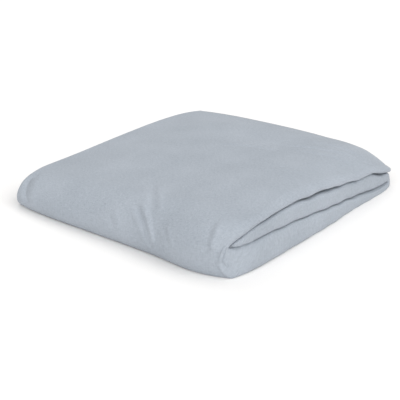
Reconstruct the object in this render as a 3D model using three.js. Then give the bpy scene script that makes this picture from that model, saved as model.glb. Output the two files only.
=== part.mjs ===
// A folded flat sheet, lying on a surface.
// The cloth is one continuous sheet. It is halved lengthwise, and halved again, into a long strip of layers.
// The strip is then folded in three like a letter, which makes three panels on top of each other:
//   bottom panel  lies on the surface
//   middle panel  is folded in over the bottom one, and its short end is tucked into the front fold
//   top panel     is folded back over both, and its short end lies free at the back
// Millimetres. +Z up, front fold at -Y, the smooth folded edges of the panels at +X, the hems at -X.
import * as THREE from 'three';

// cloth
const LAYERS = 4;              // layers in each panel
const CLOTH = 1.3;             // thickness of a layer
const PANEL_SPACE = 1.0;       // air between two panels
const LAST_LAYER = LAYERS - 1;

// where the panels begin and end along Y
const BACK_FOLD_Y = 131;       // the back fold starts to turn here
const FRONT_FOLD_Y = -104;     // the front fold starts to turn here
const MIDDLE_END_Y = -118;     // tucked-in short end of the middle panel
const TOP_END_Y = 143;         // free short end of the top panel
const MIDDLE_STEP = 11;        // each inner pair of layers of the middle panel ends this much earlier
const TOP_STEP = 2.2;          // each outer layer of the top panel ends this much earlier

// the two folds across the strip
const BACK_FOLD = { inner: 1.7, stack: 8.7, swell: 0.5 };
const FRONT_FOLD = { inner: 29.0, stack: 14.6, lowerOuter: 8.0, lowerInner: 22.0 };

// outline of each panel along X: place of its edges, and how long its rounded edge is for its height
const PANELS = {
  bottom: { left: -140, right: 140.5, backOut: 1.0, roundness: 0.55 },
  middle: { left: -138, right: 138.0, backOut: 1.5, roundness: 0.8 },
  top: { left: -138, right: 134.5, backOut: 3.0, roundness: 1.9 },
};
const NEST_STEP = 2.8;         // each inner layer turns this much earlier inside the folded edge

// ends of the layers at -X: how far each is set back, and the level its turn is centred on (null at a hem)
const LEFT_ENDS = [
  { layer: 0, setBack: 8.0, centre: null },
  { layer: 1, setBack: 3.0, centre: null },
  { layer: 2, setBack: 0.0, centre: 2.5 },
  { layer: 3, setBack: 0.0, centre: 2.5 },
];

// thickness of the panels: a row for each place along Y, a column for each place along X
const COLUMN_X = [-132, -60, 40, 100, 134];
const THICKNESS = {
  bottom: [
    { y: -104, at: [11, 12, 16, 20, 23] },
    { y: -60, at: [11.5, 13, 16, 20, 23.5] },
    { y: 0, at: [12, 13.5, 15.5, 17.5, 18.5] },
    { y: 60, at: [11.5, 12.5, 13, 12.5, 12] },
    { y: 105, at: [10.5, 11, 11, 10, 8.8] },
    { y: 138, at: [9, 9.5, 9, 8, 7.6] },
  ],
  middle: [
    { y: -104, at: [9, 10.5, 13, 14.5, 14] },
    { y: -60, at: [10, 11.5, 14.5, 16.5, 17] },
    { y: 0, at: [10.5, 12.5, 15.5, 17, 17.5] },
    { y: 60, at: [10.5, 12.5, 14.5, 16.5, 16.5] },
    { y: 105, at: [9.5, 11.5, 13.5, 15, 13.5] },
    { y: 138, at: [8.2, 9.5, 10.5, 10.5, 8.8] },
  ],
  top: [
    { y: -104, at: [8, 12.5, 15.5, 14.5, 8] },
    { y: -60, at: [8, 13, 16.5, 15, 7.6] },
    { y: 0, at: [8, 13, 16, 15, 7.6] },
    { y: 60, at: [8, 13, 15.5, 14.5, 7.6] },
    { y: 105, at: [7.8, 12, 15.5, 15, 8.2] },
    { y: 138, at: [7.6, 10, 12.5, 12.5, 8.2] },
  ],
};
const ROW_Y = THICKNESS.bottom.map((row) => row.y);

// the corners seen from above: how far each is drawn in along X and along Y
const CORNER_X = { frontLeft: 0.04, frontRight: 0.07, backRight: 0.07, backLeft: 0.1 };
const CORNER_Y = { frontLeft: 0.04, frontRight: 0.07, backRight: 0.02, backLeft: 0.025 };
const CORNER_POWER = 8;
const HALF_DEPTH = 142;
const STACK_PLACE = 0.75;      // the layer, from 0 inside to 1 outside, whose place counts for a whole fold
const LEFT_LONGER = 11;        // the left side is this much longer than the right one

// places where the shape is worked out: along a layer (0 left, 1 right) and along a panel (0 to 1)
const LAYER_STOPS = [0, 0.04, 0.11, 0.25, 0.43, 0.62, 0.79, 0.9, 0.96];
const PANEL_STOPS = {
  middle: [0, 0.05, 0.13, 0.27, 0.44, 0.62, 0.78, 0.91],
  bottom: [0, 0.1, 0.22, 0.35, 0.49, 0.63, 0.76, 0.88],
  top: [0, 0.07, 0.18, 0.31, 0.44, 0.57, 0.7, 0.81, 0.9, 0.96, 1],
};
const BACK_TURN_STEPS = 7;
const FRONT_TURN_STEPS = { run: 3, lower: 4, upper: 7 };

const SHEET_COLOUR = 0xb3bac2;

function clamp(v, low, high) {
  return Math.min(Math.max(v, low), high);
}

function ease(t) {
  const c = clamp(t, 0, 1);
  return c * c * (3 - 2 * c);
}

function mix(a, b, t) {
  return a + (b - a) * t;
}

// Share of each knot in a smooth curve that passes through all of them, at place v.
function shares(v, knots) {
  const last = knots.length - 1;
  const place = clamp(v, knots[0], knots[last]);
  let i = 0;
  while (i < last - 1 && place >= knots[i + 1]) {
    i += 1;
  }
  const span = knots[i + 1] - knots[i];
  const t = (place - knots[i]) / span;
  const out = new Array(knots.length).fill(0);
  out[i] += (2 * t - 3) * t * t + 1;
  out[i + 1] += (3 - 2 * t) * t * t;
  const slope = (j, weight) => {
    const low = Math.max(j - 1, 0);
    const high = Math.min(j + 1, last);
    const share = (weight * span) / (knots[high] - knots[low]);
    out[high] += share;
    out[low] -= share;
  };
  slope(i, ((t - 2) * t + 1) * t);
  slope(i + 1, (t - 1) * t * t);
  return out;
}

// Thickness of the three panels above the point x, y.
function thickness(x, y) {
  const byRow = shares(y, ROW_Y);
  const byColumn = shares(x, COLUMN_X);
  const sum = (rows) => rows.reduce((total, row, i) => (
    total + byRow[i] * row.at.reduce((part, value, j) => part + byColumn[j] * value, 0)
  ), 0);
  return { bottom: sum(THICKNESS.bottom), middle: sum(THICKNESS.middle), top: sum(THICKNESS.top) };
}

// Height of the middle of a layer. Layer 0 is the innermost of the letter fold, the last one the outermost.
function layerHeight(panel, layer, x, y) {
  const t = thickness(x, y);
  const out = layer / LAST_LAYER;
  if (panel === 'bottom') {
    return CLOTH / 2 + (t.bottom - CLOTH) * (1 - out);
  }
  if (panel === 'middle') {
    return t.bottom + PANEL_SPACE + t.middle / 2 + (t.middle - CLOTH) * (out - 0.5);
  }
  return t.bottom + t.middle + 2 * PANEL_SPACE + CLOTH / 2 + (t.top - CLOTH) * out;
}

// Place of a panel's folded edge at +X.
function rightEdge(panel, y) {
  const edge = PANELS[panel];
  const front = panel === 'top' ? 3.5 * ease((-50 - y) / 60) : 0;
  return edge.right + front + edge.backOut * ease(y / 60);
}

// Order of the layers along the cloth after halving it again and again.
function layerOrder() {
  let order = [0];
  for (let count = 2; count <= LAYERS; count *= 2) {
    order = order.flatMap((layer, i) => (
      i % 2 === 0 ? [layer, count - 1 - layer] : [count - 1 - layer, layer]
    ));
  }
  return order;
}

function ring(layer) {
  return Math.min(layer, LAST_LAYER - layer);
}

// Stops across the cloth, hem to hem. side is +1 or -1 on a turn at +X or -X and 0 on a flat layer.
function acrossStops() {
  const order = layerOrder();
  const stops = [];
  order.forEach((layer, i) => {
    const toRight = i % 2 === 0;
    const marks = toRight ? LAYER_STOPS : [1, ...LAYER_STOPS.slice(1).reverse()];
    marks.forEach((f) => {
      stops.push({ layer, level: layer, ring: ring(layer), f, side: 0, out: 0 });
    });
    if (i < LAST_LAYER) {
      const next = order[i + 1];
      const steps = Math.abs(layer - next) > 1 ? 10 : 6;
      for (let s = 0; s < steps; s += 1) {
        const angle = (Math.PI * s) / steps;
        const part = (1 - Math.cos(angle)) / 2;
        stops.push({
          layer,
          level: mix(layer, next, part),
          ring: mix(ring(layer), ring(next), part),
          f: toRight ? 1 : 0,
          side: toRight ? 1 : -1,
          out: Math.sin(angle),
        });
      }
    } else {
      stops.push({ layer, level: layer, ring: ring(layer), f: toRight ? 1 : 0, side: 0, out: 0 });
    }
  });
  return stops;
}

// Reach of a turn along X for its half height: as long as asked, but nowhere tighter than the cloth allows.
function turnReach(roundness, halfHeight) {
  const tightest = 0.7 * CLOTH;
  const least = Math.sqrt(tightest * halfHeight);
  const most = (halfHeight * halfHeight) / tightest;
  return Math.min(Math.max(roundness * halfHeight, least), most);
}

// Point of a panel: stop across the cloth, place y along it.
function panelPoint(panel, stop, y) {
  const edge = rightEdge(panel, y);
  const rightThick = thickness(edge - 8, y)[panel];
  const halfPair = ((rightThick - CLOTH) / LAST_LAYER) * Math.abs(LAST_LAYER / 2 - stop.ring);
  const rightReach = turnReach(PANELS[panel].roundness, halfPair);
  const right = edge - CLOTH / 2 - NEST_STEP * stop.ring - rightReach;
  const end = LEFT_ENDS[stop.layer];
  const leftTip = PANELS[panel].left + end.setBack + CLOTH / 2;
  const leftThick = thickness(leftTip + 4, y)[panel];
  const away = end.centre === null ? 0 : Math.abs(end.layer - end.centre);
  const leftReach = ((leftThick - CLOTH) / LAST_LAYER) * away;
  const x = mix(leftTip + leftReach, right, stop.f);
  const z = layerHeight(panel, stop.level, x, y);
  const reach = stop.side > 0 ? rightReach : leftReach;
  return { x: x + stop.side * stop.out * reach, y, z };
}

// The middle panel, closing down with the space inside the front fold.
function middlePoint(stop, v) {
  const end = MIDDLE_END_Y + MIDDLE_STEP * stop.ring;
  const y = mix(end, BACK_FOLD_Y, v);
  const point = panelPoint('middle', stop, y);
  const w = clamp((FRONT_FOLD_Y - y) / FRONT_FOLD.inner, 0, 1);
  if (w > 0) {
    const t = thickness(point.x, y);
    const open = Math.sqrt(1 - w * w);
    const centre = t.bottom + PANEL_SPACE + t.middle / 2;
    const pinch = t.bottom + PANEL_SPACE + 0.45 * t.middle;
    const full = (t.middle - CLOTH) / 2;
    const room = open * (t.middle / 2 + PANEL_SPACE + CLOTH / 2);
    const half = room - CLOTH - mix(0.4, PANEL_SPACE, open);
    point.z = mix(pinch, centre, open) + (point.z - centre) * (half / full);
  }
  return point;
}

// The back fold, a turn from the middle panel down to the bottom one.
function backPoint(stop, angle) {
  const above = panelPoint('middle', stop, BACK_FOLD_Y);
  const below = panelPoint('bottom', stop, BACK_FOLD_Y);
  const down = (1 - Math.cos(angle)) / 2;
  const y = (out) => BACK_FOLD_Y + (BACK_FOLD.inner + BACK_FOLD.stack * out) * Math.sin(angle);
  const own = stop.level / LAST_LAYER;
  return {
    x: mix(above.x, below.x, down) + BACK_FOLD.swell * stop.side * stop.out * Math.sin(angle),
    y: y(own),
    z: mix(above.z, below.z, down),
    stackY: y(mix(own, STACK_PLACE, 0.4)),
  };
}

// How far forward the front fold is: a flat run (t from 0 to 1), a lower quarter (1 to 2) and an upper
// quarter (2 to 3). out is 0 for the innermost layer and 1 for the outermost.
function frontReach(out, t, power) {
  const radius = FRONT_FOLD.inner + FRONT_FOLD.stack * out;
  const lower = mix(FRONT_FOLD.lowerInner, FRONT_FOLD.lowerOuter, out);
  if (t > 2) {
    return radius * Math.abs(Math.cos((t - 2) * (Math.PI / 2))) ** power;
  }
  if (t > 1) {
    return radius - lower + lower * Math.sin((t - 1) * (Math.PI / 2));
  }
  return (radius - lower) * t;
}

// The front fold, a turn from the bottom panel up to the top one.
function frontPoint(stop, t) {
  const below = panelPoint('bottom', stop, FRONT_FOLD_Y);
  const above = panelPoint('top', stop, FRONT_FOLD_Y);
  const centreX = (below.x + above.x) / 2;
  const thick = thickness(centreX, FRONT_FOLD_Y);
  const total = thick.bottom + thick.middle + thick.top + 2 * PANEL_SPACE;
  const share = ease((centreX - 60) / 75);
  const out = stop.level / LAST_LAYER;
  const belly = mix(thick.bottom + PANEL_SPACE + 0.45 * thick.middle, (0.3 + 0.12 * share) * total, out);
  const power = 2 / (2 + 0.6 * share);
  let z = below.z;
  if (t > 2) {
    z = mix(belly, above.z, Math.sin((t - 2) * (Math.PI / 2)) ** power);
  } else if (t > 1) {
    z = mix(belly, below.z, Math.cos((t - 1) * (Math.PI / 2)));
  }
  return {
    x: mix(below.x, above.x, ease(t / 3)),
    y: FRONT_FOLD_Y - frontReach(out, t, power),
    z,
    stackY: FRONT_FOLD_Y - frontReach(STACK_PLACE, t, power),
  };
}

// Amount of a corner table at the place right (0 to 1) and front (0 to 1).
function atCorner(table, right, front) {
  return mix(
    mix(table.backLeft, table.backRight, right),
    mix(table.frontLeft, table.frontRight, right),
    front,
  );
}

// Rounds the corners seen from above and makes the left side longer. The amounts come from the place f across
// the strip and from the place of the whole stack of layers, so that stacked layers move together.
function outline(point, f) {
  const b = clamp((point.stackY ?? point.y) / HALF_DEPTH, -1.05, 1.05);
  const front = (1 - b) / 2;
  const x = point.x * (1 - atCorner(CORNER_X, f, front) * Math.abs(b) ** CORNER_POWER);
  const y = point.y * (1 - atCorner(CORNER_Y, f, front) * Math.abs(2 * f - 1) ** CORNER_POWER);
  return new THREE.Vector3(x, y + LEFT_LONGER * (1 - f) * (1 - front), point.z);
}

// Middle surface of the cloth: one line of points along the strip for each stop across it.
function middleSurface() {
  const { run, lower, upper } = FRONT_TURN_STEPS;
  const turn = [];
  for (let i = 0; i < run; i += 1) {
    turn.push(i / run);
  }
  for (let i = 0; i < lower; i += 1) {
    turn.push(1 + i / lower);
  }
  for (let i = 0; i < upper; i += 1) {
    turn.push(2 + i / upper);
  }
  return acrossStops().map((stop) => {
    const line = PANEL_STOPS.middle.map((v) => middlePoint(stop, v));
    for (let i = 0; i < BACK_TURN_STEPS; i += 1) {
      line.push(backPoint(stop, (Math.PI * i) / BACK_TURN_STEPS));
    }
    PANEL_STOPS.bottom.forEach((v) => {
      line.push(panelPoint('bottom', stop, mix(BACK_FOLD_Y, FRONT_FOLD_Y, v)));
    });
    turn.forEach((t) => line.push(frontPoint(stop, t)));
    const end = TOP_END_Y - TOP_STEP * stop.level;
    PANEL_STOPS.top.forEach((v) => line.push(panelPoint('top', stop, mix(FRONT_FOLD_Y, end, v))));
    return line.map((point) => outline(point, stop.f));
  });
}

// Direction square to the middle surface at each of its points.
function squareTo(grid) {
  return grid.map((line, i) => line.map((_, j) => {
    const before = grid[Math.max(i - 1, 0)][j];
    const after = grid[Math.min(i + 1, grid.length - 1)][j];
    const left = line[Math.max(j - 1, 0)];
    const right = line[Math.min(j + 1, line.length - 1)];
    const across = new THREE.Vector3().subVectors(after, before);
    const along = new THREE.Vector3().subVectors(right, left);
    return across.cross(along).normalize();
  }));
}

// Closed solid of the cloth: its two faces, half a thickness each way, and the four hems between them.
function clothSolid(grid) {
  const square = squareTo(grid);
  const rows = grid.length;
  const columns = grid[0].length;
  const points = [];
  [1, -1].forEach((way) => {
    grid.forEach((line, i) => line.forEach((point, j) => {
      points.push(point.clone().addScaledVector(square[i][j], (way * CLOTH) / 2));
    }));
  });
  const at = (face, i, j) => face * rows * columns + i * columns + j;
  const triangles = [];
  const quad = (a, b, c, d) => triangles.push(a, b, c, a, c, d);
  for (let i = 0; i < rows - 1; i += 1) {
    for (let j = 0; j < columns - 1; j += 1) {
      quad(at(0, i, j), at(0, i + 1, j), at(0, i + 1, j + 1), at(0, i, j + 1));
      quad(at(1, i, j), at(1, i, j + 1), at(1, i + 1, j + 1), at(1, i + 1, j));
    }
  }
  for (let j = 0; j < columns - 1; j += 1) {
    const far = rows - 1;
    quad(at(0, 0, j), at(0, 0, j + 1), at(1, 0, j + 1), at(1, 0, j));
    quad(at(0, far, j + 1), at(0, far, j), at(1, far, j), at(1, far, j + 1));
  }
  for (let i = 0; i < rows - 1; i += 1) {
    const far = columns - 1;
    quad(at(0, i + 1, 0), at(0, i, 0), at(1, i, 0), at(1, i + 1, 0));
    quad(at(0, i, far), at(0, i + 1, far), at(1, i + 1, far), at(1, i, far));
  }
  return { points, triangles };
}

// Moves the solid so that its box is centred over the origin and its underside lies at height 0.
function centred(points) {
  const box = new THREE.Box3().setFromPoints(points);
  const shift = new THREE.Vector3((box.min.x + box.max.x) / 2, (box.min.y + box.max.y) / 2, box.min.z);
  return points.flatMap((point) => point.sub(shift).toArray());
}

const { points, triangles } = clothSolid(middleSurface());
const geometry = new THREE.BufferGeometry();
geometry.setAttribute('position', new THREE.Float32BufferAttribute(centred(points), 3));
geometry.setIndex(triangles);
geometry.computeVertexNormals();

const cloth = new THREE.MeshStandardMaterial({ color: SHEET_COLOUR, roughness: 0.95, metalness: 0 });
cloth.name = 'sheet_cloth';
const sheet = new THREE.Mesh(geometry, cloth);
sheet.name = 'sheet';

const folded = new THREE.Group();
folded.name = 'folded_flat_sheet';
folded.add(sheet);
export default folded;
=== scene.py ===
# %% [markdown]
# # A folded flat sheet
# A flat bed sheet is halved lengthwise again and again until it is one long strip of layers, and
# the strip is then folded in three like a letter. The result is a soft square pack: one large
# wrapped fold at the front, three rounded folded edges on top of each other at the right, and hems
# only inside, at the left and at the back, out of the camera's sight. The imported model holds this
# fold with a few thick layers. Here the same fold is made again with more and thinner layers, and
# with the creases and the soft surface of the cloth.

import math

import bpy
import numpy as np
from mathutils import Matrix, Vector


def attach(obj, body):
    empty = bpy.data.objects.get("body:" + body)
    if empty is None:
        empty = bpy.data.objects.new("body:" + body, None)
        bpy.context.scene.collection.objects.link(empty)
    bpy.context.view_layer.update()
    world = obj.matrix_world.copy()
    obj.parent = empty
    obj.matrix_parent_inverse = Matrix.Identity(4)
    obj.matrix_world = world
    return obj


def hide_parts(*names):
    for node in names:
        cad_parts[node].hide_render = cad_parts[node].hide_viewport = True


MM = 0.001

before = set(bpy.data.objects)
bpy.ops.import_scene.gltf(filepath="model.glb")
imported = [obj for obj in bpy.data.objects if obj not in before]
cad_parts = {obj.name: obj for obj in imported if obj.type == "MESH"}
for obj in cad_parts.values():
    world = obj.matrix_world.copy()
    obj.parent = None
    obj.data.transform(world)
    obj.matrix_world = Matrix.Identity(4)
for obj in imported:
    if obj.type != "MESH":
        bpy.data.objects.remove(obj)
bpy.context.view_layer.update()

# %% [markdown]
# ## Camera
# The pack was seen from the front right and a little above, from a good metre away. A camera can be
# aimed with a constraint, but here its three directions are worked out from two angles, because
# then the aim point and the small shift of the picture stay separate numbers that are easy to
# adjust.

# %% Place the camera
TURN = math.radians(38.3)
LOOK_DOWN = math.radians(21.7)
DISTANCE = 1115 * MM
AIM = Vector((0, -0.4, 25.0)) * MM
PICTURE_PIXELS = 400
FOCAL_PIXELS = 1100
SHIFT_PIXELS = (-9.0, -28.2)
SENSOR = 36.0

level = Vector((math.sin(TURN), -math.cos(TURN), 0))
away = level * math.cos(LOOK_DOWN) + Vector((0, 0, math.sin(LOOK_DOWN)))
rightwards = Vector((math.cos(TURN), math.sin(TURN), 0))
upwards = away.cross(rightwards)
camera_data = bpy.data.cameras.new("camera")
camera_data.sensor_width = SENSOR
camera_data.lens = SENSOR * FOCAL_PIXELS / PICTURE_PIXELS
camera_data.shift_x = SHIFT_PIXELS[0] / PICTURE_PIXELS
camera_data.shift_y = SHIFT_PIXELS[1] / PICTURE_PIXELS
camera = bpy.data.objects.new("camera", camera_data)
bpy.context.collection.objects.link(camera)
turned = Matrix((rightwards, upwards, away)).transposed().to_4x4()
camera.matrix_world = Matrix.Translation(away * DISTANCE + AIM) @ turned
bpy.context.scene.camera = camera
print("camera lens in mm:", round(camera_data.lens, 1))

# %% [markdown]
# ## The cloth and its folds
# All sizes of the fold are in millimetres: x across the strip, y along it, z up. The panels and the
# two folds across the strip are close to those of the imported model. The layers are thinner and there
# are eight of them in each panel. Still more layers would leave too few points for a fine surface.

# %% Name the sizes of the fold
LAYERS = 8
LAST = LAYERS - 1
CLOTH = 0.6
PANEL_SPACE = 0.8
BACK_FOLD_Y = 131.0
FRONT_FOLD_Y = -104.0
# place x of the two edges of a panel, how much farther out the right one lies at the back, and how
# far its rounded edge reaches out for each mm of half its height
PANELS = {
    "bottom": {"left": -140.0, "right": 140.5, "back_out": -2.6, "roundness": 0.5},
    "middle": {"left": -138.0, "right": 138.5, "back_out": -2.8, "roundness": 0.6},
    "top": {"left": -138.0, "right": 135.5, "back_out": 2.5, "roundness": 2.0},
}
print("layers of cloth in the pack:", 3 * LAYERS)

# %% [markdown]
# ## How thick the pack is
# A folded pack is never a box. It is fullest where the many folded edges lie on top of each other
# and thin where only loose ends lie. One table gives the thickness of each panel in mm at a few
# places: each row runs from left to right, and the rows run from the front fold to the back fold.

# %% Table of the thickness
COLUMN_X = np.array([-132.0, -60.0, 40.0, 100.0, 134.0])
ROW_Y = np.array([-104.0, -60.0, 0.0, 60.0, 105.0, 138.0])
THICKNESS = {
    "bottom": np.array([
        [10.5, 12.0, 16.0, 20.8, 25.4],
        [10.0, 13.0, 16.0, 20.0, 24.6],
        [10.5, 13.5, 15.5, 17.5, 18.5],
        [10.5, 12.5, 13.0, 12.5, 11.5],
        [9.8, 11.0, 11.0, 9.4, 6.2],
        [9.0, 9.5, 9.0, 7.6, 4.6],
    ]),
    "middle": np.array([
        [8.6, 10.5, 13.0, 14.2, 16.1],
        [8.8, 11.5, 14.5, 16.5, 16.8],
        [9.2, 12.5, 15.5, 17.0, 17.5],
        [9.4, 12.5, 14.5, 16.8, 17.0],
        [8.8, 11.5, 13.5, 15.6, 16.0],
        [8.0, 9.5, 10.5, 10.4, 8.4],
    ]),
    "top": np.array([
        [7.6, 12.5, 15.5, 14.0, 5.8],
        [7.4, 13.0, 16.5, 15.0, 7.2],
        [7.4, 13.0, 16.0, 15.0, 7.6],
        [7.4, 13.0, 15.5, 14.5, 7.6],
        [7.4, 12.0, 15.5, 15.0, 7.0],
        [7.4, 10.0, 12.5, 12.0, 6.2],
    ]),
}
thickest = {panel: float(table.max()) for panel, table in THICKNESS.items()}
print("thickest place of each panel in mm:", thickest)

# %% [markdown]
# ## A smooth curve through the table
# Straight lines between the places of the table would show as kinks in the cloth. A smooth curve
# passes through all values instead. It is a weighted sum of them, and the function below works out
# the weights in one direction.

# %% Shares of the table's values
def shares(v, knots):
    """Share of each knot in a smooth curve through all of them, at the places v."""
    last = len(knots) - 1
    v = np.clip(v, knots[0], knots[-1])
    i = np.clip(np.searchsorted(knots, v, side="right") - 1, 0, last - 1)
    span = knots[i + 1] - knots[i]
    t = (v - knots[i]) / span
    out = np.zeros((last + 1,) + v.shape)
    spot = tuple(np.indices(v.shape))

    def add(j, amount):
        np.add.at(out, (j,) + spot, amount)

    def slope(j, amount):
        low = np.maximum(j - 1, 0)
        high = np.minimum(j + 1, last)
        part = amount * span / (knots[high] - knots[low])
        add(high, part)
        add(low, -part)

    add(i, (2 * t - 3) * t * t + 1)
    add(i + 1, (3 - 2 * t) * t * t)
    slope(i, ((t - 2) * t + 1) * t)
    slope(i + 1, (t - 1) * t * t)
    return out


between = shares(np.array(-96.0), COLUMN_X)
print("shares half way between the first two columns:", between.round(2).tolist())

# %% [markdown]
# ## Waves of the two lines
# The two dark lines between the three panels are not straight at the right edge, because each fold
# sags and swells a little. Where a line rises, the panel below it is thicker and the one above it
# thinner by the same amount, so the pack keeps its height.

# %% Thickness of the three panels
# waves of the two lines between the panels at the right edge: place y, width and height
EDGE_WAVES = {
    "upper": [
        (-88, 9, 0.5), (-60, 10, -0.4), (-42, 8, 0.5), (-22, 7, -1.1), (-2, 9, 0.8), (14, 6, -0.3),
        (33, 6, -0.7), (48, 8, 0.7), (64, 6, -0.6), (78, 5, 0.5), (92, 9, 1.9), (114, 8, -1.0),
    ],
    "lower": [
        (-100, 17, 1.9), (-84, 5, 0.7), (-70, 6, -0.5), (-50, 7, 0.5), (-30, 7, -0.4), (-14, 8, 0.6),
        (5, 5, -0.4), (16, 5, 0.4), (32, 5, -0.8), (45, 6, 0.6), (58, 5, -0.5), (72, 6, 0.7),
        (98, 8, -0.6),
    ],
}
WAVES_FROM_X = 90.0
WAVES_FADE = 35.0


def ease(t):
    """Goes from 0 to 1, slowly at both ends, while t does."""
    c = np.clip(t, 0, 1)
    return c * c * (3 - 2 * c)


def edge_wave(line, y):
    """Height in mm that the panel above a line gives to the one below it, at the right edge."""
    bumps = [height * np.exp(-(((y - at) / width) ** 2)) for at, width, height in EDGE_WAVES[line]]
    return sum(bumps)


def thickness(panel, x, y):
    """Thickness of a panel in mm at the places x, y."""
    x, y = np.broadcast_arrays(np.asarray(x, float), np.asarray(y, float))
    even = np.einsum("i...,j...,ij->...", shares(y, ROW_Y), shares(x, COLUMN_X), THICKNESS[panel])
    below = edge_wave("lower", y)
    above = edge_wave("upper", y)
    gained = {"bottom": below, "middle": above - below, "top": -above}[panel]
    return even + gained * ease((x - WAVES_FROM_X) / WAVES_FADE)


panels_high = sum(float(thickness(panel, 120, -90)) for panel in PANELS)
print("height near the front right corner in mm:", round(panels_high + 2 * PANEL_SPACE, 1))

# %% [markdown]
# ## Layers across the strip
# Halving the cloth puts its layers in an order that is easy to work out: fold the list of layers
# over itself, as the cloth is. The stops below follow one cut across the cloth, from hem to hem. A
# layer lies flat between two turns, and a turn at the right or left leads to the next layer. The
# outermost layer shows, so it gets many more stops.

# %% Stops across the cloth
OUTER_CELLS = 150
HIDDEN_CELLS = 8
OUTER_TURN_STEPS = 22
INNER_TURN_STEPS = 5
# the stops of the outermost layer lie closer together where most creases are
OUTER_SPREAD = ([0, 0.28, 0.78, 1], [0, 0.43, 0.83, 1])


def mix(a, b, t):
    """Value at the share t of the way from a to b."""
    return a + (b - a) * t


def layer_order():
    """Order in which a cut across the cloth meets the layers, numbered from the innermost one."""
    order = [0]
    count = 1
    while count < LAYERS:
        count *= 2
        halved = []
        for i, layer in enumerate(order):
            pair = [layer, count - 1 - layer]
            halved += pair if i % 2 == 0 else pair[::-1]
        order = halved
    return order


def ring_of(layer):
    """How deep a layer lies inside the folded edges: 0 for the two outer layers."""
    return min(layer, LAST - layer)


def across_stops():
    """Rows of layer, level, ring, f (0 left, 1 right), side of a turn, how far out it is, rise."""
    order = layer_order()
    stops = []
    for i, layer in enumerate(order):
        to_right = i % 2 == 0
        cells = OUTER_CELLS if layer == LAST else HIDDEN_CELLS
        for step in range(cells):
            f = step / cells
            if layer == LAST:
                f = np.interp(f if to_right else 1 - f, *OUTER_SPREAD)
                f = f if to_right else 1 - f
            stops.append((layer, layer, ring_of(layer), f if to_right else 1 - f, 0, 0, 0))
        f = 1 if to_right else 0
        if i == LAST:
            stops.append((layer, layer, ring_of(layer), f, 0, 0, 0))
            break
        after = order[i + 1]
        steps = OUTER_TURN_STEPS if {layer, after} == {0, LAST} else INNER_TURN_STEPS
        for step in range(steps):
            angle = math.pi * step / steps
            part = (1 - math.cos(angle)) / 2
            ring = mix(ring_of(layer), ring_of(after), part)
            rise = part if after > layer else 1 - part
            side = 1 if to_right else -1
            stops.append((layer, mix(layer, after, part), ring, f, side, math.sin(angle), rise))
    return np.array(stops, float)


class Stops:
    """The stops as columns, ready to be combined with a row of places along the strip."""

    def __init__(self, table):
        columns = [table[:, [i]] for i in range(7)]
        self.layer, self.level, self.ring, self.f, self.side, self.out, self.rise = columns
        self.own = self.level / LAST


stops = Stops(across_stops())
print("order of the layers:", layer_order(), "stops:", len(stops.f))

# %% [markdown]
# ## Height of the layers
# The three panels lie on top of each other with a little air between them, and the layers of a panel
# share its thickness evenly. In the middle panel and the top one the layers count upwards and in the
# bottom one downwards, so that the last layer always lies on the outside of the two folds across the
# strip. At the right edge the upper line gapes at three places.

# %% Height of a layer
# where the upper of the two lines gapes at the right edge: place y, width, and mm that it opens
GAPES = [(-92, 24, 1.7), (-2, 44, 1.6), (118, 15, 1.4)]
GAPE_FROM_X = 112.0
GAPE_FADE = 18.0


def gape(x, y):
    """Opening in mm of the upper line, taken from the upper side of the middle panel."""
    open_at = sum(height * np.exp(-(((y - at) / width) ** 2)) for at, width, height in GAPES)
    return open_at * ease((x - GAPE_FROM_X) / GAPE_FADE)


def layer_height(panel, level, x, y):
    """Height in mm of the middle of a layer of a panel, at the places x, y."""
    out = level / LAST
    bottom = thickness("bottom", x, y)
    if panel == "bottom":
        return CLOTH / 2 + (bottom - CLOTH) * (1 - out)
    middle = thickness("middle", x, y)
    if panel == "middle":
        shown = middle - gape(x, y)
        return bottom + PANEL_SPACE + shown / 2 + (shown - CLOTH) * (out - 0.5)
    top = thickness("top", x, y)
    return bottom + middle + 2 * PANEL_SPACE + CLOTH / 2 + (top - CLOTH) * out


highest = float(layer_height("top", LAST, 0.0, 0.0))
print("height of the uppermost layer at the middle of the pack in mm:", round(highest, 1))

# %% [markdown]
# ## Rounded edges
# Each panel ends at the right in one rounded edge: the layers turn there, nested inside each other,
# and the outermost turn hides the rest. The edge of the bottom panel and of the middle one is full
# and blunt, and that of the top panel is thin and slopes down towards its tip. Small upright creases
# run down the edges, where the cloth is crowded.

# %% Shape of a rounded edge
NEST_STEP = 1.2
TIGHTEST = 0.7 * CLOTH
# rounded edges: share of the height where an edge is widest, and the two powers of its curve on the
# inside and on the outside of that place
EDGES = {
    "bottom": {"widest": 0.5, "inside": (2.8, 0.36), "outside": (4.2, 0.26)},
    "middle": {"widest": 0.5, "inside": (4.2, 0.26), "outside": (3.4, 0.32)},
    "top": {"widest": 0.25, "inside": (2.6, 0.4), "outside": (2.0, 0.95)},
}
# upright creases in the folded right edges: place y, lean from the inner to the outer side of the
# panel, width and depth
SIDE_CREASES = {
    "bottom": [
        (-60, -8, 3, 0.6), (-51, -6, 3.5, 0.5), (-22, 10, 8, 0.5), (14, -12, 7, 0.9),
        (42, -6, 8, 0.6), (58, 8, 5, 0.9), (80, -6, 6, 0.8), (98, 6, 4, 0.5),
    ],
    "middle": [
        (-132, 4, 3.5, -0.9), (-122, 8, 3, 0.6), (-108, 10, 3.5, 0.7), (-70, 8, 8, 0.4),
        (-30, -8, 9, 0.4), (30, 6, 8, 0.4), (84, -7, 3, 0.6), (94, -6, 2.5, 0.7), (104, -8, 3, 0.7),
    ],
    "top": [(-20, 5, 9, 0.4), (40, -5, 8, 0.4), (85, 5, 6, 0.5)],
}
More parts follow.
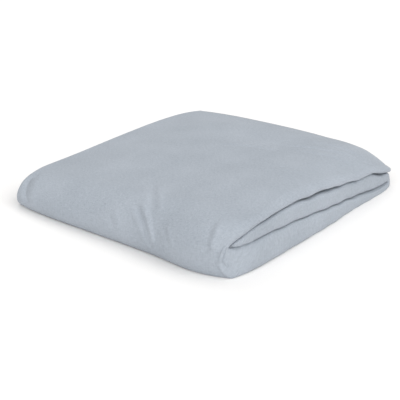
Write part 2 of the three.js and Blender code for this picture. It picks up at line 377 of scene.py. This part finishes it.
# how far the right edge of the top panel comes out towards the front fold, where that begins, and
# the way along the strip over which a right edge moves, here and towards the back
FRONT_OUT = 3.5
FRONT_OUT_FROM_Y = -50.0
EDGE_FADE = 60.0


def right_edge(panel, y):
    """Place x in mm of the outermost turn at the right."""
    edge = PANELS[panel]
    front = FRONT_OUT * ease((FRONT_OUT_FROM_Y - y) / EDGE_FADE) if panel == "top" else 0
    return edge["right"] + front + edge["back_out"] * ease(y / EDGE_FADE)


def turn_reach(roundness, half_height):
    """How far a turn of this half height reaches out, never bent tighter than the cloth allows."""
    least = np.sqrt(TIGHTEST * half_height)
    most = half_height ** 2 / TIGHTEST
    return np.minimum(np.maximum(roundness * half_height, least), most)


def edge_bulge(panel):
    """Outline of a rounded edge: 0 at its two ends and 1 where it is widest."""
    edge = EDGES[panel]
    outside = stops.rise > edge["widest"]
    span = np.where(outside, 1 - edge["widest"], edge["widest"])
    t = np.clip(np.abs(stops.rise - edge["widest"]) / span, 0, 1)
    power, tip = [np.where(outside, edge["outside"][i], edge["inside"][i]) for i in range(2)]
    return (1 - t ** power) ** tip


def side_dent(panel, y):
    """Depth in mm of the upright creases in the outer turn of a panel's right edge."""
    dents = [depth * np.exp(-(((y - at - lean * (stops.rise - 0.5)) / width) ** 2))
             for at, lean, width, depth in SIDE_CREASES[panel]]
    return np.where(stops.ring < 0.5, sum(dents), 0)


right_edges = [round(float(right_edge(panel, -100.0)), 1) for panel in PANELS]
print("right edges near the front in mm, from the bottom up:", right_edges)

# %% [markdown]
# ## A flat panel
# Now each stop across the cloth gets its place in a panel. The inner turns at the right come earlier
# than the outer one. At the left some layers turn and two end in hems, each set back a little from
# the next, as in any hand-folded pack.

# %% Points of a flat panel
# how far each layer is set back at the left, and the level that its turn there goes round
SET_BACK = np.array([9.0, 3.5, 4.5, 4.5, 0.0, 1.7, 1.7, 0.0])
TURN_CENTRE = np.array([0.0, 1.0, 2.5, 2.5, 5.5, 5.5, 5.5, 5.5])
# how far inside an edge its thickness is measured
INSIDE_RIGHT = 8.0
INSIDE_LEFT = 4.0


def panel_point(panel, y):
    """x, y, z of all stops of a panel, at the places y along the strip."""
    edge = right_edge(panel, y)
    pitch = (thickness(panel, edge - INSIDE_RIGHT, y) - CLOTH) / LAST
    right_reach = turn_reach(PANELS[panel]["roundness"], pitch * np.abs(LAST / 2 - stops.ring))
    right = edge - CLOTH / 2 - NEST_STEP * stops.ring - right_reach
    layer = stops.layer.astype(int)
    left_tip = PANELS[panel]["left"] + SET_BACK[layer] + CLOTH / 2
    left_pitch = (thickness(panel, left_tip + INSIDE_LEFT, y) - CLOTH) / LAST
    left_reach = left_pitch * np.abs(layer - TURN_CENTRE[layer])
    x = mix(left_tip + left_reach, right, stops.f)
    z = layer_height(panel, stops.level, x, y)
    bulge = edge_bulge(panel)
    x = x + np.where(stops.side > 0, right_reach * bulge - side_dent(panel, y) * bulge, 0)
    x = x - np.where(stops.side < 0, left_reach * stops.out, 0)
    return x, y + 0 * x, z


bottom_x = panel_point("bottom", np.array([[0.0]]))[0]
bottom_span = [round(float(bottom_x.min()), 1), round(float(bottom_x.max()), 1)]
print("bottom panel half way along, from x to x in mm:", bottom_span)

# %% [markdown]
# ## Middle panel
# The middle panel is folded in first, so its short end is tucked into the front fold. There its
# layers close down to a thin tip, which leaves the pointed slit at the near corner.

# %% Points of the middle panel
MIDDLE_CELLS = 68
MIDDLE_END_Y = -141.6
MIDDLE_STEP = 6.0
# front fold: reach of its innermost layer, what the others add to that, reach of the lower curve of
# the outermost and of the innermost layer, and how pointed it is inside
FRONT_FOLD = {
    "inner": 39.2, "stack": 4.4, "lower_outer": 8.0, "lower_inner": 32.0, "inner_power": 1.5,
}
# height of the tip of the middle panel, as a share of its thickness, and the air round the tip
PINCH = 0.2
TIP_SPACE = 0.4


def middle_panel():
    """x, y, z of the panel, and the y that the corners are drawn in by."""
    end = MIDDLE_END_Y + MIDDLE_STEP * stops.ring
    v = np.linspace(0, 1, MIDDLE_CELLS + 1)[None, :-1]
    y = mix(end, BACK_FOLD_Y, v)
    x, y, z = panel_point("middle", y)
    bottom = thickness("bottom", x, y)
    middle = thickness("middle", x, y)
    w = np.clip((FRONT_FOLD_Y - y) / FRONT_FOLD["inner"], 0, 1)
    power = FRONT_FOLD["inner_power"]
    open_share = (1 - w ** (2 / power)) ** (power / 2)
    centre = bottom + PANEL_SPACE + middle / 2
    pinch = bottom + PANEL_SPACE + PINCH * middle
    full = (middle - CLOTH) / 2
    room = open_share * (middle / 2 + PANEL_SPACE + CLOTH / 2)
    half = room - CLOTH - mix(TIP_SPACE, PANEL_SPACE, open_share)
    closed = mix(pinch, centre, open_share) + (z - centre) * (half / full)
    return x, y, np.where(w > 0, closed, z), y


middle_section = middle_panel()
print("points of the middle panel:", middle_section[0].size)

# %% [markdown]
# ## The back fold
# At the back the middle panel turns down into the bottom one, in a tight half turn.

# %% Points of the back fold
BACK_TURN_STEPS = 10
# reach of the innermost layer, what the others add to that, and how much the fold widens
BACK_FOLD = {"inner": 1.7, "stack": 8.7, "swell": 0.5}
# the corners are drawn in for the whole stack of layers together, as if all of them lay at this share
# of it, and in the back fold each layer goes this part of the way there
STACK_PLACE = 0.75
BACK_STACKED = 0.4


def back_fold():
    """Half turn from the middle panel down to the bottom one."""
    angle = np.pi * np.linspace(0, 1, BACK_TURN_STEPS + 1)[None, :-1]
    x0, _, z0 = panel_point("middle", np.array([[BACK_FOLD_Y]]))
    x1, _, z1 = panel_point("bottom", np.array([[BACK_FOLD_Y]]))
    down = (1 - np.cos(angle)) / 2

    def place(out):
        return BACK_FOLD_Y + (BACK_FOLD["inner"] + BACK_FOLD["stack"] * out) * np.sin(angle)

    x = mix(x0, x1, down) + BACK_FOLD["swell"] * stops.side * stops.out * np.sin(angle)
    return x, place(stops.own), mix(z0, z1, down), place(mix(stops.own, STACK_PLACE, BACK_STACKED))


back_section = back_fold()
print("points of the back fold:", back_section[0].size)

# %% [markdown]
# ## The front fold
# At the front the bottom panel turns up round the end of the middle one and becomes the top panel.
# This is the large fold that shows: flat below, rounder above, and fuller at its right end, where
# all the folded edges push it out.

# %% Points of the front fold
FRONT_RUN_STEPS = 4
FRONT_LOWER_STEPS = 14
FRONT_UPPER_STEPS = 42
QUARTER = math.pi / 2
# the fuller right end: where it begins and how soon it is full, height of the foremost place as a
# share of the whole height, what that gains at the right end, and how much rounder the fold is there
FULL_FROM_X = 60.0
FULL_FADE = 75.0
BELLY = 0.3
BELLY_GAIN = 0.12
ROUNDER = 0.6
# the fold also swells forwards near its right end: place x, width, mm for the outermost layer, and
# the share of that for the innermost
NEAR_SWELL = (98.0, 32.0, 4.5)
INNER_SWELL = 0.5


def front_reach(out, t, power):
    """How far the front fold reaches forward: t runs 0 to 1 below, to 2 at the belly, to 3 on top."""
    radius = FRONT_FOLD["inner"] + FRONT_FOLD["stack"] * out
    lower = mix(FRONT_FOLD["lower_inner"], FRONT_FOLD["lower_outer"], out)
    run = (radius - lower) * t
    under = radius - lower + lower * np.sin(np.clip(t - 1, 0, 1) * QUARTER)
    over = radius * np.abs(np.cos(np.clip(t - 2, 0, 1) * QUARTER)) ** power
    return np.where(t > 2, over, np.where(t > 1, under, run))


def front_places():
    """Places t along the front fold, closest together on its upper part, which shows most."""
    run = np.arange(FRONT_RUN_STEPS) / FRONT_RUN_STEPS
    lower = 1 + np.arange(FRONT_LOWER_STEPS) / FRONT_LOWER_STEPS
    upper = 2 + np.arange(FRONT_UPPER_STEPS) / FRONT_UPPER_STEPS
    return np.concatenate([run, lower, upper])[None]


def front_fold():
    """Half turn from the bottom panel up to the top one, round the end of the middle one."""
    t = front_places()
    x0, _, z0 = panel_point("bottom", np.array([[FRONT_FOLD_Y]]))
    x1, _, z1 = panel_point("top", np.array([[FRONT_FOLD_Y]]))
    centre_x = (x0 + x1) / 2
    bottom, middle, top = [thickness(panel, centre_x, FRONT_FOLD_Y) for panel in PANELS]
    total = bottom + middle + top + 2 * PANEL_SPACE
    full = ease((centre_x - FULL_FROM_X) / FULL_FADE)
    pointed = mix(FRONT_FOLD["inner_power"], 1, ease(2 * stops.own))
    inner_belly = bottom + PANEL_SPACE + PINCH * middle
    belly = mix(inner_belly, (BELLY + BELLY_GAIN * full) * total, stops.own)
    power = pointed * 2 / (2 + ROUNDER * full * stops.own)
    over = mix(belly, z1, np.abs(np.sin(np.clip(t - 2, 0, 1) * QUARTER)) ** power)
    under = mix(belly, z0, np.cos(np.clip(t - 1, 0, 1) * QUARTER))
    z = np.where(t > 2, over, np.where(t > 1, under, z0))
    at, width, most = NEAR_SWELL
    forward = most * np.exp(-(((centre_x - at) / width) ** 2)) * ease(t) * ease(3 - t)
    y = FRONT_FOLD_Y - front_reach(stops.own, t, power) - forward * mix(INNER_SWELL, 1, stops.own)
    return mix(x0, x1, ease(t / 3)), y, z, FRONT_FOLD_Y - front_reach(STACK_PLACE, t, power)


front_section = front_fold()
print("points of the front fold:", front_section[0].size)

# %% [markdown]
# ## The whole strip, and its corners seen from above
# Soft corners are never square. The whole stack of layers is drawn in at each corner together, and
# the left side of the pack is a little longer than the right one.

# %% Put the strip together
BOTTOM_CELLS = 56
TOP_CELLS = 94
TOP_END_Y = 143.0
TOP_STEP = 0.95
# share of x and of y by which a corner is drawn in, and how suddenly that begins
CORNER_X = {"front_left": 0.04, "front_right": 0.052, "back_right": 0.051, "back_left": 0.1}
CORNER_Y = {"front_left": 0.04, "front_right": 0.044, "back_right": 0.02, "back_left": 0.025}
CORNER_POWER = {"front_left": 6, "front_right": 9, "back_right": 14, "back_left": 8}
# half the depth of the pack, the share of it beyond which no more is drawn in, and the mm by which
# the left side is longer
HALF_DEPTH = 142.0
FARTHEST = 1.05
LEFT_LONGER = 11.0


def bottom_panel():
    """x, y, z of the panel from back to front, and the y that the corners are drawn in by."""
    v = np.linspace(0, 1, BOTTOM_CELLS + 1)[None, :-1]
    x, y, z = panel_point("bottom", mix(BACK_FOLD_Y, FRONT_FOLD_Y, v))
    return x, y, z, y


def top_panel():
    """x, y, z of the panel from front to back, and the y that the corners are drawn in by."""
    end = TOP_END_Y - TOP_STEP * stops.level
    x, y, z = panel_point("top", mix(FRONT_FOLD_Y, end, np.linspace(0, 1, TOP_CELLS + 1)[None]))
    return x, y, z, y


def at_corner(table, right, front):
    """Value between those of the four corners, right and front running from 0 to 1."""
    back_side = mix(table["back_left"], table["back_right"], right)
    front_side = mix(table["front_left"], table["front_right"], right)
    return mix(back_side, front_side, front)


def whole_strip():
    """All points of the fold in mm, stops by places along the strip by x, y, z."""
    sections = [middle_section, back_section, bottom_panel(), front_section, top_panel()]
    x, y, z, stack_y = [np.concatenate([section[i] for section in sections], 1) for i in range(4)]
    b = np.clip(stack_y / HALF_DEPTH, -FARTHEST, FARTHEST)
    front = (1 - b) / 2
    power = at_corner(CORNER_POWER, stops.f, front)
    x = x * (1 - at_corner(CORNER_X, stops.f, front) * np.abs(b) ** power)
    y = y * (1 - at_corner(CORNER_Y, stops.f, front) * np.abs(2 * stops.f - 1) ** power)
    y = y + LEFT_LONGER * (1 - stops.f) * (1 - front)
    return np.stack([x, y, z], -1)


smooth_strip = whole_strip()
print("points of the smooth fold:", smooth_strip.shape[0] * smooth_strip.shape[1])

# %% [markdown]
# ## Creases
# Pressed and handled cotton keeps soft creases, a few sharper ones where a thick fold bends twice,
# and broad swellings and hollows from the layers under it. They are placed on the outermost layer:
# x runs across the pack, and s is the distance along the cloth from the line where the front fold
# meets the top. A positive s lies on the top and a negative one on the front fold. A crease is a soft
# trough with a low ridge along each side.

# %% Place the creases
CREASES = [
    # line of (x, s), depth and width of the trough, heights of its two ridges: left and right of a
    # line drawn down the front fold, nearer and farther than one drawn to the right on the top
    ([(14, -24), (26, -34), (38, -44), (46, -53), (53, -64)], 1.0, 2.5, 1.0, 1.9),
    ([(4, 14), (12, 2), (25, -12), (38, -27), (42, -36)], 0.7, 3.5, 0.2, 0.8),
    ([(60, -40), (66, -46), (73, -53), (78, -60)], 0.4, 2.0, 0.5, 1.0),
    ([(-8, -40), (2, -50), (8, -60)], 0.3, 3.0, 0.4, 0.5),
    ([(107, -22), (111, -32), (113, -44), (113, -60)], 0.45, 3.0, 0.2, 1.7),
    ([(138, -46), (131, -55), (126, -63), (130, -68), (134, -73)], 1.3, 1.2, 1.7, 0.2),
    ([(-130, -8), (-125, -28), (-117, -48), (-108, -66)], 1.3, 4.6, 1.2, 0.9),
    ([(36, 166), (75, 182), (114, 193)], 0.9, 2.4, 0.3, 0.6),
    ([(58, 158), (95, 172), (122, 178)], 0.7, 2.2, 0.1, 0.6),
    ([(54, 195), (90, 204), (120, 206)], 0.8, 2.6, 0.3, 0.5),
    ([(-20, 120), (20, 142), (60, 150)], 0.6, 3.0, 0.1, 0.5),
    ([(70, 96), (96, 112), (116, 120)], 0.5, 2.6, 0.4, 0.1),
    ([(120, 198), (128, 208), (132, 224)], 0.6, 2.5, 0.7, 0.0),
    ([(-70, 236), (0, 238), (60, 237), (100, 232)], 0.5, 5.0, 0.2, 0.2),
]
# broad soft swellings and hollows: middle (x, s), size along x and along s, height
SWELLS = [
    (6, -46, 13, 11, 1.0), (74, -46, 16, 13, 1.7), (86, -62, 16, 9, -0.3), (120, -40, 9, 22, 1.7),
    (-60, -52, 26, 12, 0.6), (-20, -62, 18, 8, -0.3), (-84, 20, 30, 40, 0.5), (-10, 60, 34, 24, -0.4),
    (60, 40, 26, 34, 0.5), (118, 60, 12, 50, 0.6), (20, 130, 36, 26, 0.5), (-70, 120, 30, 34, -0.4),
    (84, 130, 24, 26, -0.5), (-30, 200, 40, 22, 0.4), (52, 236, 14, 12, -0.7), (92, 232, 16, 12, 0.4),
    (-120, 70, 9, 10, 0.8), (-122, 118, 9, 12, 0.7), (-120, 160, 9, 14, 0.6),
]
print("creases:", len(CREASES), "swellings and hollows:", len(SWELLS))

# %% [markdown]
# ## Shape of a crease
# A crease could be modelled by hand in the mesh, but then it would be lost with every change of the
# fold. Here each one is a line of a few points with a rounded cross section, faded out towards both
# of its ends, and all heights are added up.

# %% Height of the creases
FADE_IN = 0.4
FADE_OUT = 0.2
RIDGE_AWAY = 2


def near_line(line, x, s):
    """Distance from a line, negative on its left if it is drawn down, and the place along it."""
    line = np.array(line, float)
    steps = np.diff(line, axis=0)
    lengths = np.linalg.norm(steps, axis=1)
    best = np.inf + 0 * x
    signed = 0 * x
    place = 0 * x
    for n, (start, step) in enumerate(zip(line, steps)):
        ahead = (x - start[0]) * step[0] + (s - start[1]) * step[1]
        along = np.clip(ahead / lengths[n] ** 2, 0, 1)
        dx = x - start[0] - along * step[0]
        ds = s - start[1] - along * step[1]
        distance = np.hypot(dx, ds)
        nearer = distance < best
        best = np.where(nearer, distance, best)
        signed = np.where(nearer, distance * np.sign(ds * step[0] - dx * step[1]), signed)
        place = np.where(nearer, (lengths[:n].sum() + along * lengths[n]) / lengths.sum(), place)
    return signed, place


def crease_height(x, s):
    """Height in mm of creases and swellings over the smooth fold."""
    height = 0 * x
    for line, depth, width, left, right in CREASES:
        distance, place = near_line(line, x, s)
        fade = ease(place / FADE_IN) * ease((1 - place) / FADE_OUT)
        height -= fade * depth * np.exp(-((distance / width) ** 2))
        height += fade * left * np.exp(-((distance / width + RIDGE_AWAY) ** 2))
        height += fade * right * np.exp(-((distance / width - RIDGE_AWAY) ** 2))
    for at_x, at_s, size_x, size_s, swell in SWELLS:
        height += swell * np.exp(-(((x - at_x) / size_x) ** 2) - ((s - at_s) / size_s) ** 2)
    return height


on_main_crease = crease_height(np.array([38.0]), np.array([-44.0]))
print("height half way along the main crease in mm:", on_main_crease.round(2).tolist())

# %% [markdown]
# ## Creased cloth
# The creases are pressed into the outermost layer alone, which is the only one that shows. Its
# points move the way that the layer faces, seen from the side of the pack. In the outer turns at the
# edges the creases fade out towards the inner end.

# %% Press the creases in
# the distance along the cloth is measured on the outermost layer, at this share of the way from the
# left edge to the right one
PROFILE_AT = 0.6
# how much farther across the cloth the inner end of an outer turn lies than its outer end
TURN_UNROLLED = 6.0

hidden_layer = stops.layer < LAST
outer_row = np.argmin(np.where(hidden_layer, np.inf, np.abs(stops.f - PROFILE_AT)))
profile = smooth_strip[outer_row]
along_outer = np.concatenate([[0], np.cumsum(np.linalg.norm(np.diff(profile, axis=0), axis=1))])
down_strip = (along_outer - along_outer[-1 - TOP_CELLS])[None]
lean = np.gradient(profile, axis=0)
outwards = np.stack([0 * lean[:, 0], -lean[:, 2], lean[:, 1]], -1)
outwards = outwards / np.linalg.norm(outwards, axis=1, keepdims=True)
unrolled_x = smooth_strip[..., 0] + TURN_UNROLLED * (stops.side > 0) * (1 - stops.rise)
outer_turn = np.isin(stops.layer, (0, LAST)) * stops.rise
outermost = np.where(stops.side == 0, ~hidden_layer, outer_turn)
pressed = outermost * crease_height(unrolled_x, down_strip)
strip = smooth_strip + pressed[..., None] * outwards[None]

# %% [markdown]
# ## From a surface to cloth
# The folded surface gets its thickness by moving it half a thickness each way along its normals,
# and the two faces are joined at the four hems, so that the cloth is one closed solid. The face
# that is folded inwards needs fewer points than the one that shows, so it keeps only every second
# one.

# %% Faces of the cloth
def normals(grid):
    """Unit normals of a grid of points, pointing to the side that shows."""
    across = np.gradient(grid, axis=0)
    along = np.gradient(grid, axis=1)
    square = np.cross(along, across)
    return square / np.linalg.norm(square, axis=-1, keepdims=True)


def every_second(count):
    """Every second index below count, and the last one."""
    kept = np.arange(0, count, 2)
    return kept if kept[-1] == count - 1 else np.append(kept, count - 1)


def cloth_faces(rows, columns, shown, hidden):
    """Faces of the solid: the shown face, the coarser hidden face, and the four hems between them."""
    faces = []
    a, b, c, d = shown[:-1, :-1], shown[:-1, 1:], shown[1:, 1:], shown[1:, :-1]
    faces += np.stack([a, b, c, d], -1).reshape(-1, 4).tolist()
    a, b, c, d = hidden[:-1, :-1], hidden[1:, :-1], hidden[1:, 1:], hidden[:-1, 1:]
    faces += np.stack([a, b, c, d], -1).reshape(-1, 4).tolist()
    for n in range(len(columns) - 1):
        span = slice(columns[n], columns[n + 1] + 1)
        faces.append([hidden[0, n], hidden[0, n + 1]] + shown[0, span][::-1].tolist())
        faces.append([hidden[-1, n + 1], hidden[-1, n]] + shown[-1, span].tolist())
    for n in range(len(rows) - 1):
        span = slice(rows[n], rows[n + 1] + 1)
        faces.append([hidden[n + 1, 0], hidden[n, 0]] + shown[span, 0].tolist())
        faces.append([hidden[n, -1], hidden[n + 1, -1]] + shown[span, -1][::-1].tolist())
    return faces


small = np.arange(9).reshape(3, 3)
small_rows = every_second(3)
small_hidden = small.size + np.arange(4).reshape(2, 2)
small_faces = cloth_faces(small_rows, small_rows, small, small_hidden)
print("faces of a cloth of two by two cells:", len(small_faces))

# %% [markdown]
# ## The cloth as a mesh
# The points of both faces are put in one list, moved so that the pack stands on the floor with its
# middle at the origin, and handed to the mesh in metres.

# %% Build the cloth
square = normals(strip)
rows = every_second(strip.shape[0])
columns = every_second(strip.shape[1])
shown_points = strip + square * CLOTH / 2
hidden_points = (strip - square * CLOTH / 2)[np.ix_(rows, columns)]
shown = np.arange(shown_points.shape[0] * shown_points.shape[1]).reshape(shown_points.shape[:2])
hidden = shown.size + np.arange(len(rows) * len(columns)).reshape(len(rows), len(columns))
points = np.concatenate([shown_points.reshape(-1, 3), hidden_points.reshape(-1, 3)])
low, high = points.min(0), points.max(0)
points = points - [(low[0] + high[0]) / 2, (low[1] + high[1]) / 2, low[2]]

mesh = bpy.data.meshes.new("folded_sheet")
mesh.from_pydata((points * MM).tolist(), [], cloth_faces(rows, columns, shown, hidden))
mesh.update()
sheet = bpy.data.objects.new("folded_sheet", mesh)
bpy.context.collection.objects.link(sheet)
mesh.shade_smooth()
print("faces:", len(mesh.polygons), "triangles:", sum(len(p.vertices) - 2 for p in mesh.polygons))

# %% [markdown]
# ## The cloth laid flat
# A pattern of threads must follow the cloth and not the room. Each point therefore gets the place
# it would have if the sheet were laid out flat, in metres: one coordinate across the strip from hem
# to hem, and one along it.

# %% Unrolled coordinates of the cloth
steps_across = np.linalg.norm(np.diff(strip, axis=0), axis=-1).mean(1)
steps_along = np.linalg.norm(np.diff(strip, axis=1), axis=-1).mean(0)
u = np.concatenate([[0], np.cumsum(steps_across)])[:, None] + 0 * strip[..., 0]
v = np.concatenate([[0], np.cumsum(steps_along)])[None] + 0 * strip[..., 0]
flat = np.stack([u, v], -1) * MM
flat_points = np.concatenate([flat.reshape(-1, 2), flat[np.ix_(rows, columns)].reshape(-1, 2)])
uv_map = mesh.uv_layers.new(name="cloth")
corner_vertex = np.zeros(len(mesh.loops), int)
mesh.loops.foreach_get("vertex_index", corner_vertex)
uv_map.data.foreach_set("uv", flat_points[corner_vertex].ravel())
print("flat cloth in metres:", round(float(u.max() * MM), 3), "by", round(float(v.max() * MM), 3))

# %% [markdown]
# ## Small helpers for a material
# Colours are written as sRGB hex values, as a picture shows them, and turned linear by one function.
# Sizes of a pattern are written in millimetres. Each node is added by one call that also sets and
# links it, which keeps the material short.

# %% Colours, scales and nodes
def linear(hex_colour):
    """sRGB hex value as linear red, green, blue and alpha."""
    values = [int(hex_colour[i:i + 2], 16) / 255 for i in (1, 3, 5)]
    return [v / 12.92 if v <= 0.04045 else ((v + 0.055) / 1.055) ** 2.4 for v in values] + [1.0]


def per_metre(size):
    """Pattern scale for details of this size in mm."""
    return 1 / (size * MM)


def add_node(tree, kind, settings=None, links=None):
    """Adds a node, sets inputs (by name or number) or properties, and links outputs to its inputs."""
    node = tree.nodes.new(kind)
    for name, value in (settings or {}).items():
        if isinstance(name, int) or name in node.inputs:
            node.inputs[name].default_value = value
        else:
            setattr(node, name, value)
    for name, source in (links or {}).items():
        tree.links.new(source, node.inputs[name])
    return node


print("middle grey as linear values:", [round(value, 3) for value in linear("#808080")])

# %% [markdown]
# ## Finish of the cloth
# The cloth is a plain cotton weave with a soft, slightly brushed face: very matt, with a faint
# sheen at grazing angles. Real threads are about a quarter of a millimetre apart, too fine to show
# from here, so the uneven yarns are drawn a few millimetres long and about one wide, which gives the
# same quiet grain. They run along both directions of the cloth laid flat. A third, much broader
# pattern makes the colour slightly cloudy.

# %% Cloth material
YARN_ALONG_MM = (3.8, 1.1)
YARN_ACROSS_MM = (1.25, 3.3)
CLOUD_MM = 42.0
RELIEF_MM = 0.4
DEEP_TINT = "#969ea7"
PALE_TINT = "#aeb5be"
CLOUD_SHARE = 0.8
CLOUD_SHIFT = -0.9


def yarn_noise(tree, unrolled, size):
    """Uneven streaks in the cloth laid flat, with this size in mm across and along the strip."""
    scale = (per_metre(size[0]), per_metre(size[1]), 1.0)
    stretched = add_node(tree, "ShaderNodeMapping", {"Scale": scale}, {"Vector": unrolled})
    settings = {"Scale": 1.0, "Detail": 2.0}
    return add_node(tree, "ShaderNodeTexNoise", settings, {"Vector": stretched.outputs["Vector"]})


brushed_cotton = bpy.data.materials.new("brushed_cotton_sheeting")
brushed_cotton.use_nodes = True
tree = brushed_cotton.node_tree
tree.nodes.clear()
laid_flat = add_node(tree, "ShaderNodeUVMap", {"uv_map": "cloth"})
slubs = yarn_noise(tree, laid_flat.outputs["UV"], YARN_ALONG_MM)
wefts = yarn_noise(tree, laid_flat.outputs["UV"], YARN_ACROSS_MM)
yarns = {0: slubs.outputs["Fac"], 1: wefts.outputs["Fac"]}
weave = add_node(tree, "ShaderNodeMath", {"operation": "ADD"}, yarns)
place = add_node(tree, "ShaderNodeTexCoord")
cloud_settings = {"Scale": per_metre(CLOUD_MM), "Detail": 4.0}
cloud = add_node(tree, "ShaderNodeTexNoise", cloud_settings, {"Vector": place.outputs["Object"]})
# the two yarn patterns add up to about 1 and the weakened cloud is about -0.5, so the tone of the
# cloth varies round 0.5, half way between its two tints
weaker = {"operation": "MULTIPLY_ADD", 1: CLOUD_SHARE, 2: CLOUD_SHIFT}
cloudy = add_node(tree, "ShaderNodeMath", weaker, {0: cloud.outputs["Fac"]})
both = {0: weave.outputs[0], 1: cloudy.outputs[0]}
tone = add_node(tree, "ShaderNodeMath", {"operation": "ADD"}, both)
# inputs 6 and 7 of this node are its two colours
tints = {"data_type": "RGBA", 6: linear(DEEP_TINT), 7: linear(PALE_TINT)}
tint = add_node(tree, "ShaderNodeMix", tints, {0: tone.outputs[0]})
relief_settings = {"Strength": 1.0, "Distance": RELIEF_MM * MM}
relief = add_node(tree, "ShaderNodeBump", relief_settings, {"Height": weave.outputs[0]})
matt = {"Roughness": 0.95, "Sheen Weight": 0.1, "Sheen Roughness": 0.5}
surface = {"Base Color": tint.outputs[2], "Normal": relief.outputs["Normal"]}
cloth = add_node(tree, "ShaderNodeBsdfPrincipled", matt, surface)
add_node(tree, "ShaderNodeOutputMaterial", links={"Surface": cloth.outputs["BSDF"]})
print("material:", brushed_cotton.name, "with", len(tree.nodes), "nodes")

# %% [markdown]
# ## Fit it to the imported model
# The dressed sheet takes the place of the plain one, stays with its only body, and offers its cloth
# as one slot that can be given another colour. Its flat size is that of the modelled cloth, which
# stands for a much larger real one with more and thinner layers.

# %% Mark the sheet
mesh.materials.append(brushed_cotton)
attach(sheet, "root")
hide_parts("sheet")

# %% [markdown]
# ## Floor and light
# A plain white floor under four wide, distant lights: the two main ones from the front right and
# the front left, a weaker one from the right side and one from behind, with white surroundings.
# Each light spreads as widely as a large soft box close by, so the shadows have no edge. The floor
# is faintly warm, because that evens out the blue of the cloth in the soft shade beside it.

# %% Floor and light
FLOOR_SIZE = 6
FLOOR_COLOUR = (0.94, 0.93, 0.92, 1)
SURROUNDINGS = 0.3
SUN_SPREAD = 55

bpy.ops.mesh.primitive_plane_add(size=FLOOR_SIZE)
floor = bpy.context.object
floor.name = "floor"
white = bpy.data.materials.new("white_floor")
white.use_nodes = True
floor_finish = white.node_tree.nodes["Principled BSDF"]
floor_finish.inputs["Base Color"].default_value = FLOOR_COLOUR
floor_finish.inputs["Roughness"].default_value = 1.0
floor.data.materials.append(white)

surroundings = bpy.data.worlds.new("surroundings")
bpy.context.scene.world = surroundings
surroundings.use_nodes = True
background = surroundings.node_tree.nodes["Background"]
background.inputs["Color"].default_value = (1, 1, 1, 1)
background.inputs["Strength"].default_value = SURROUNDINGS


def soft_sun(name, to_right, height, strength):
    """A wide, distant light, turned to the right of the camera and up by two angles in degrees."""
    side = TURN + math.radians(to_right)
    up = math.radians(height)
    beside = Vector((math.sin(side), -math.cos(side), 0))
    direction = beside * math.cos(up) + Vector((0, 0, math.sin(up)))
    data = bpy.data.lights.new(name, "SUN")
    data.energy = strength
    data.angle = math.radians(SUN_SPREAD)
    light = bpy.data.objects.new(name, data)
    light.rotation_euler = direction.to_track_quat("Z", "Y").to_euler()
    bpy.context.collection.objects.link(light)


soft_sun("right_light", 48, 34, 1.2)
soft_sun("left_light", -25, 38, 1.55)
soft_sun("side_light", 100, 50, 0.6)
soft_sun("back_light", 190, 50, 0.75)
bpy.context.scene.view_settings.view_transform = "Standard"
